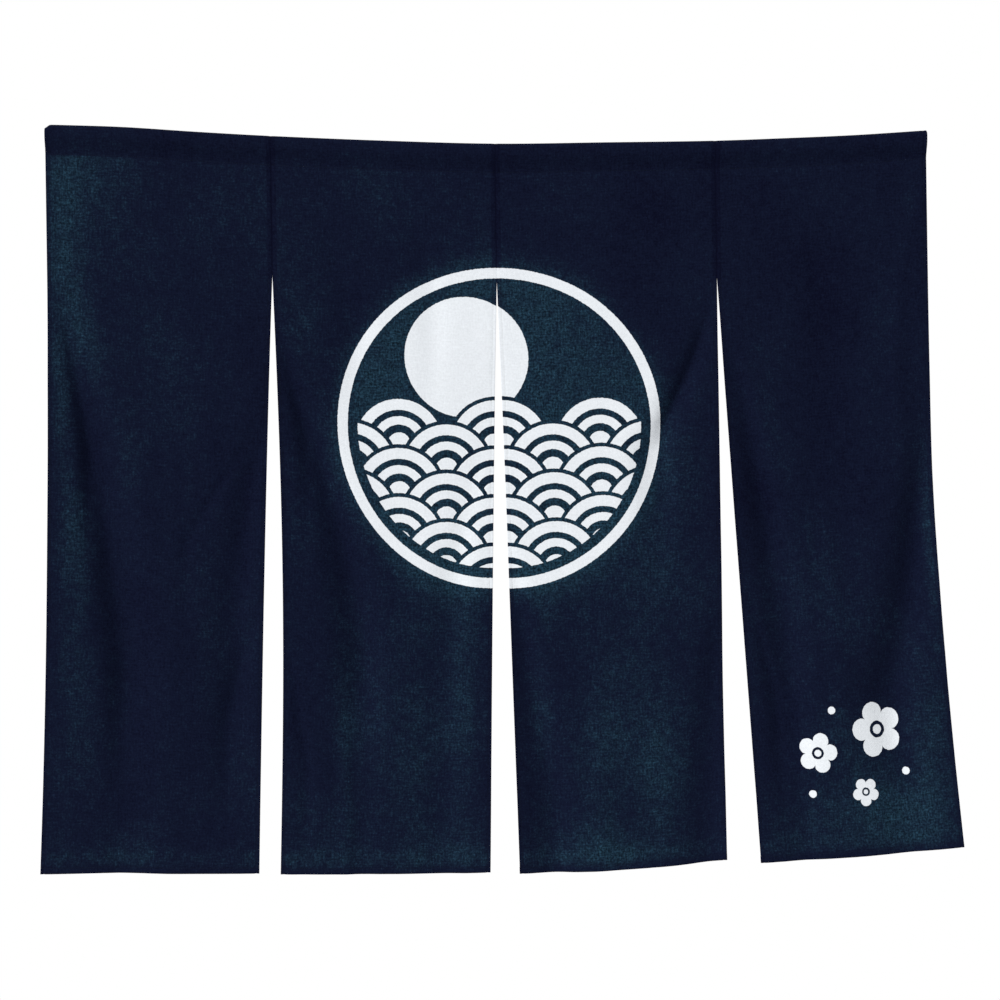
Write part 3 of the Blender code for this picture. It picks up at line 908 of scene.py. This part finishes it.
def dyed_cotton(name, weave, dye, design, undyed, wear):
    """The cloth's material, for its face or its reverse."""
    material = bpy.data.materials.new(name)
    material.use_nodes = True
    tree = material.node_tree
    shader = tree.nodes["Principled BSDF"]
    cloth = add(tree, "ShaderNodeUVMap", uv_map="cloth").outputs[0]
    # Painted shade where plies lie behind the face.
    plies = add(tree, "ShaderNodeAttribute", attribute_name="plies").outputs["Fac"]
    # Painted light and shade, with the darker rims.
    painted_light_and_tone = add(tree, "ShaderNodeAttribute", attribute_name="painted_light_and_tone").outputs["Fac"]
    yarn = place_group(tree, weave, (("Cloth", cloth), ("Yarns per Metre", YARNS_PER_METRE)))
    drawn = place_group(tree, design, [("Cloth", cloth)])
    painted_light_and_tone = maths(tree, "ADD", maths(tree, "MULTIPLY_ADD", drawn["Halo"], HALO_WEAR, wear), painted_light_and_tone)
    dyed = place_group(tree, dye, (("Cloth", cloth), ("Yarn Tone", yarn["Yarn Tone"]),
                                   ("Plies", plies), ("Painted Light and Tone", painted_light_and_tone)))[0]
    # Painted shade in the gaps between the yarns, painted light on their crossings.
    gap_shade = maths(tree, "MULTIPLY_ADD", yarn["Crossings"], WHITE_CROSSING_LIGHT, WHITE_GAP_SHADE)
    shade = maths(tree, "MULTIPLY_ADD", yarn["Yarn Tone"], WHITE_YARN_CONTRAST, WHITE_YARN)
    white = scaled(tree, undyed[:3], maths(tree, "MULTIPLY", gap_shade, shade))
    gap_shade = maths(tree, "MULTIPLY_ADD", yarn["Crossings"], DYED_CROSSING_LIGHT, DYED_GAP_SHADE)
    colour = blend_colour(tree, drawn["White"], scaled(tree, dyed, gap_shade), white)
    tree.links.new(colour, shader.inputs["Base Color"])
    shader.inputs["Roughness"].default_value = 0.88
    shader.inputs["Specular IOR Level"].default_value = 0.03
    shader.inputs["Sheen Weight"].default_value = 0.008
    shader.inputs["Sheen Roughness"].default_value = 0.45
    shader.inputs["Sheen Tint"].default_value = (0.45, 0.62, 0.80, 1.0)
    bump = add(tree, "ShaderNodeBump", (("Strength", 0.55), ("Distance", 0.00022),
                                        ("Height", yarn["Height"])))
    tree.links.new(bump.outputs[0], shader.inputs["Normal"])
    return material


weave, dye, design = plain_weave(), indigo_dye(), resist_design()
cotton_face = dyed_cotton("indigo_cotton_face", weave, dye, design, UNDYED, 0.0)
cotton_reverse = dyed_cotton(
    "indigo_cotton_reverse", weave, dye, design, UNDYED_REVERSE, REVERSE_WEAR)

# The sewing
# Lockstitch in indigo cotton thread: along the pocket's foot, along the hem, and down each edge
# that hangs free. On both sides the thread lies up for 2 mm and then dips into the cloth.
STITCH_PITCH = 0.0032
STITCH_SHAPE = ((0.00, -0.00022), (0.20, 0.00004), (0.50, 0.00014), (0.80, 0.00004))
THREAD_RADIUS = 0.00017
THREAD_SIDES = 5
THREAD_END = 0.0012
DYED_THREAD = (0.005, 0.008, 0.020, 1.0), (0.012, 0.022, 0.042, 1.0)
UNDYED_THREAD = (0.720, 0.735, 0.740, 1.0)

SewingLine = namedtuple("SewingLine", "across drop across_length drop_length plies_behind")


def sewing_thread(design):
    """Thread as dark as the cloth, and as white where the paste covered the seam as well."""
    material = bpy.data.materials.new("sewing_thread")
    material.use_nodes = True
    tree = material.node_tree
    shader = tree.nodes["Principled BSDF"]
    where = add(tree, "ShaderNodeTexCoord").outputs["Object"]
    uneven = add(tree, "ShaderNodeTexNoise", (("Vector", where), ("Scale", 900.0))).outputs["Fac"]
    dyed = blend_colour(tree, uneven, *DYED_THREAD)
    cloth = add(tree, "ShaderNodeUVMap", uv_map="cloth").outputs[0]
    white = place_group(tree, design, [("Cloth", cloth)])["White"]
    colour = blend_colour(tree, white, dyed, UNDYED_THREAD)
    tree.links.new(colour, shader.inputs["Base Color"])
    twist = add(tree, "ShaderNodeTexWave", (("Vector", where), ("Scale", 1400.0),
                                            ("Distortion", 2.0)), bands_direction="DIAGONAL")
    bump = add(tree, "ShaderNodeBump", (("Strength", 0.4), ("Distance", 0.0001),
                                        ("Height", twist.outputs["Fac"])))
    tree.links.new(bump.outputs[0], shader.inputs["Normal"])
    shader.inputs["Roughness"].default_value = 0.7
    shader.inputs["Specular IOR Level"].default_value = 0.08
    return material


def sewing_lines(number):
    """The lines of sewing on one width: pocket, hem, then the two long edges."""
    level = PANEL_WIDTH - 2 * THREAD_END
    yield SewingLine(THREAD_END, POCKET_SEWING, level, 0.0, 2)
    yield SewingLine(THREAD_END, HEM_SEWING, level, 0.0, 2)
    for across, outer in ((SIDE_SEWING, number == 0),
                          (PANEL_WIDTH - SIDE_SEWING, number == len(PANELS) - 1)):
        start = POCKET_HEIGHT + 0.006 if outer else SEAM_LENGTH + 0.004
        yield SewingLine(across, start, 0.0, HEM_SEWING - 0.003 - start, 1)


def lay_thread(bm, panel, seams, flat_left, line, side):
    """One side's thread along a line: a grid closed into a tube that rises and dips."""
    length = line.across_length + line.drop_length
    stitches = int(length / STITCH_PITCH)
    rings = stitches * len(STITCH_SHAPE)
    made = bmesh.ops.create_grid(bm, x_segments=THREAD_SIDES, y_segments=rings, size=0.5)
    surface = FRONT - CLOTH / 2 if side < 0 else FRONT + line.plies_behind * PLY + CLOTH / 2
    surface -= side * 0.6 * SEWN_DENT
    uv_layer = bm.loops.layers.uv.verify()
    path, on_cloth = [], []
    for ring in range(rings + 1):
        stitch, part = divmod(ring, len(STITCH_SHAPE))
        along, rise = STITCH_SHAPE[part]
        share = min(1.0, (stitch + along) / stitches)
        path.append(hang(panel, seams, line.across + share * line.across_length,
                         surface + side * rise, line.drop + share * line.drop_length))
        on_cloth.append((flat_left + line.across + share * line.across_length,
                         -line.drop - share * line.drop_length))
    for vert in made["verts"]:
        ring = round((vert.co.y + 0.5) * rings)
        angle = 2 * math.pi * round((vert.co.x + 0.5) * THREAD_SIDES) / THREAD_SIDES
        centre, sideways, downward, to_back = path[ring]
        beside = sideways if line.drop_length else downward
        radius = THREAD_RADIUS if 0 < ring < rings else 0.0
        for loop in vert.link_loops:
            loop[uv_layer].uv = on_cloth[ring]
        vert.co = centre + (beside * math.cos(angle) + to_back * math.sin(angle)) * radius
    bmesh.ops.remove_doubles(bm, verts=made["verts"], dist=1e-6)


def sew_stitches(panel, seams, flat_left, number, thread):
    """All the sewing of one width."""
    bm = bmesh.new()
    bm.loops.layers.uv.new("cloth")
    for line in sewing_lines(number):
        for side in (-1, 1):
            lay_thread(bm, panel, seams, flat_left, line, side)
    bmesh.ops.recalc_face_normals(bm, faces=bm.faces)
    for face in bm.faces:
        face.smooth = True
    mesh = bpy.data.meshes.new("stitching_" + panel.name)
    bm.to_mesh(mesh)
    bm.free()
    mesh.materials.append(thread)
    stitching = bpy.data.objects.new("stitching_" + panel.name, mesh)
    bpy.context.scene.collection.objects.link(stitching)
    return stitching


thread = sewing_thread(design)
for number, panel in enumerate(PANELS):
    seams = HUNG_SEAMS[number:number + 2]
    flat_left = (number - len(PANELS) / 2) * PANEL_WIDTH
    cloth = sew_panel(panel, seams, flat_left, cotton_face, cotton_reverse)
    stitching = sew_stitches(panel, seams, flat_left, number, thread)
    for piece in (cloth, stitching):
        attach(piece, "root")
    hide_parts("panel_" + panel.name)

# The room
# A pale plaster floor, 1.9 m below the top of the curtain, that fades into the white surround.
FLOOR_HEIGHT = -1.900
FLOOR_RADIUS = 1.85
PLASTER = (0.78, 0.77, 0.75, 1.0), (0.84, 0.83, 0.82, 1.0)


def pale_floor():
    bm = bmesh.new()
    bmesh.ops.create_circle(bm, cap_ends=True, radius=FLOOR_RADIUS, segments=96,
                            matrix=Matrix.Translation((0.0, 0.0, FLOOR_HEIGHT)))
    mesh = bpy.data.meshes.new("pale_floor")
    bm.to_mesh(mesh)
    bm.free()
    material = bpy.data.materials.new("pale_floor")
    material.use_nodes = True
    tree = material.node_tree
    shader = tree.nodes["Principled BSDF"]
    where = add(tree, "ShaderNodeTexCoord").outputs["Object"]
    grain = add(tree, "ShaderNodeTexNoise", (("Vector", where), ("Scale", 9.0), ("Detail", 6.0)))
    colour = blend_colour(tree, grain.outputs["Fac"], *PLASTER)
    tree.links.new(colour, shader.inputs["Base Color"])
    out = vectors(tree, "LENGTH", where)["Value"]
    far = math.hypot(FLOOR_RADIUS, FLOOR_HEIGHT)
    tree.links.new(remap(tree, out, far - 0.02, abs(FLOOR_HEIGHT) + 0.12), shader.inputs["Alpha"])
    shader.inputs["Roughness"].default_value = 0.85
    mesh.materials.append(material)
    floor = bpy.data.objects.new("pale_floor", mesh)
    bpy.context.scene.collection.objects.link(floor)


pale_floor()

# The light
# Soft light comes in from the left, a little above and in front, and the white room fills it in.
SURROUND = 0.465
WINDOW_DIRECTION = (-0.66, -0.62, 0.42)
WINDOW_STRENGTH = 2.70
WINDOW_SPREAD = math.radians(16.0)
WHITE = (1.0, 1.0, 1.0, 1.0)

window = bpy.data.lights.new("window_light", "SUN")
window.energy = WINDOW_STRENGTH
window.angle = WINDOW_SPREAD
window.color = (1.0, 0.99, 0.97)
window_light = bpy.data.objects.new("window_light", window)
window_light.rotation_euler = Vector(WINDOW_DIRECTION).to_track_quat("Z", "Y").to_euler()
bpy.context.scene.collection.objects.link(window_light)

world = bpy.data.worlds.new("white_surround")
world.use_nodes = True
surround = world.node_tree
seen = surround.nodes["Background"]
seen.inputs["Color"].default_value = WHITE
seen.inputs["Strength"].default_value = 1.0
lit = add(surround, "ShaderNodeBackground", (("Color", WHITE), ("Strength", SURROUND)))
path = add(surround, "ShaderNodeLightPath")
either = add(surround, "ShaderNodeMixShader", ((0, path.outputs["Is Camera Ray"]),
                                               (1, lit.outputs[0]), (2, seen.outputs[0])))
surround.links.new(either.outputs[0], surround.nodes["World Output"].inputs["Surface"])
bpy.context.scene.world = world
bpy.context.scene.view_settings.view_transform = "Standard"

# The camera
# It looks level from 3.2 m away, half way up the curtain and a little to the left, with a
# slight roll.
CAMERA_DISTANCE = 3.199
CAMERA_TURN = math.radians(-5.32)
CAMERA_ROLL = math.radians(0.85)
CAMERA_HEIGHT = -0.5805
FOCAL_LENGTH = 70.7

lens = bpy.data.cameras.new("camera")
lens.lens = FOCAL_LENGTH
lens.sensor_width = 36.0
camera = bpy.data.objects.new("camera", lens)
camera.location = (CAMERA_DISTANCE * math.sin(CAMERA_TURN),
                   -CAMERA_DISTANCE * math.cos(CAMERA_TURN), CAMERA_HEIGHT)
camera.rotation_euler = (Matrix.Rotation(CAMERA_TURN, 3, "Z") @ Matrix.Rotation(math.pi / 2, 3, "X")
                         @ Matrix.Rotation(-CAMERA_ROLL, 3, "Z")).to_euler()
bpy.context.scene.collection.objects.link(camera)
bpy.context.scene.camera = camera
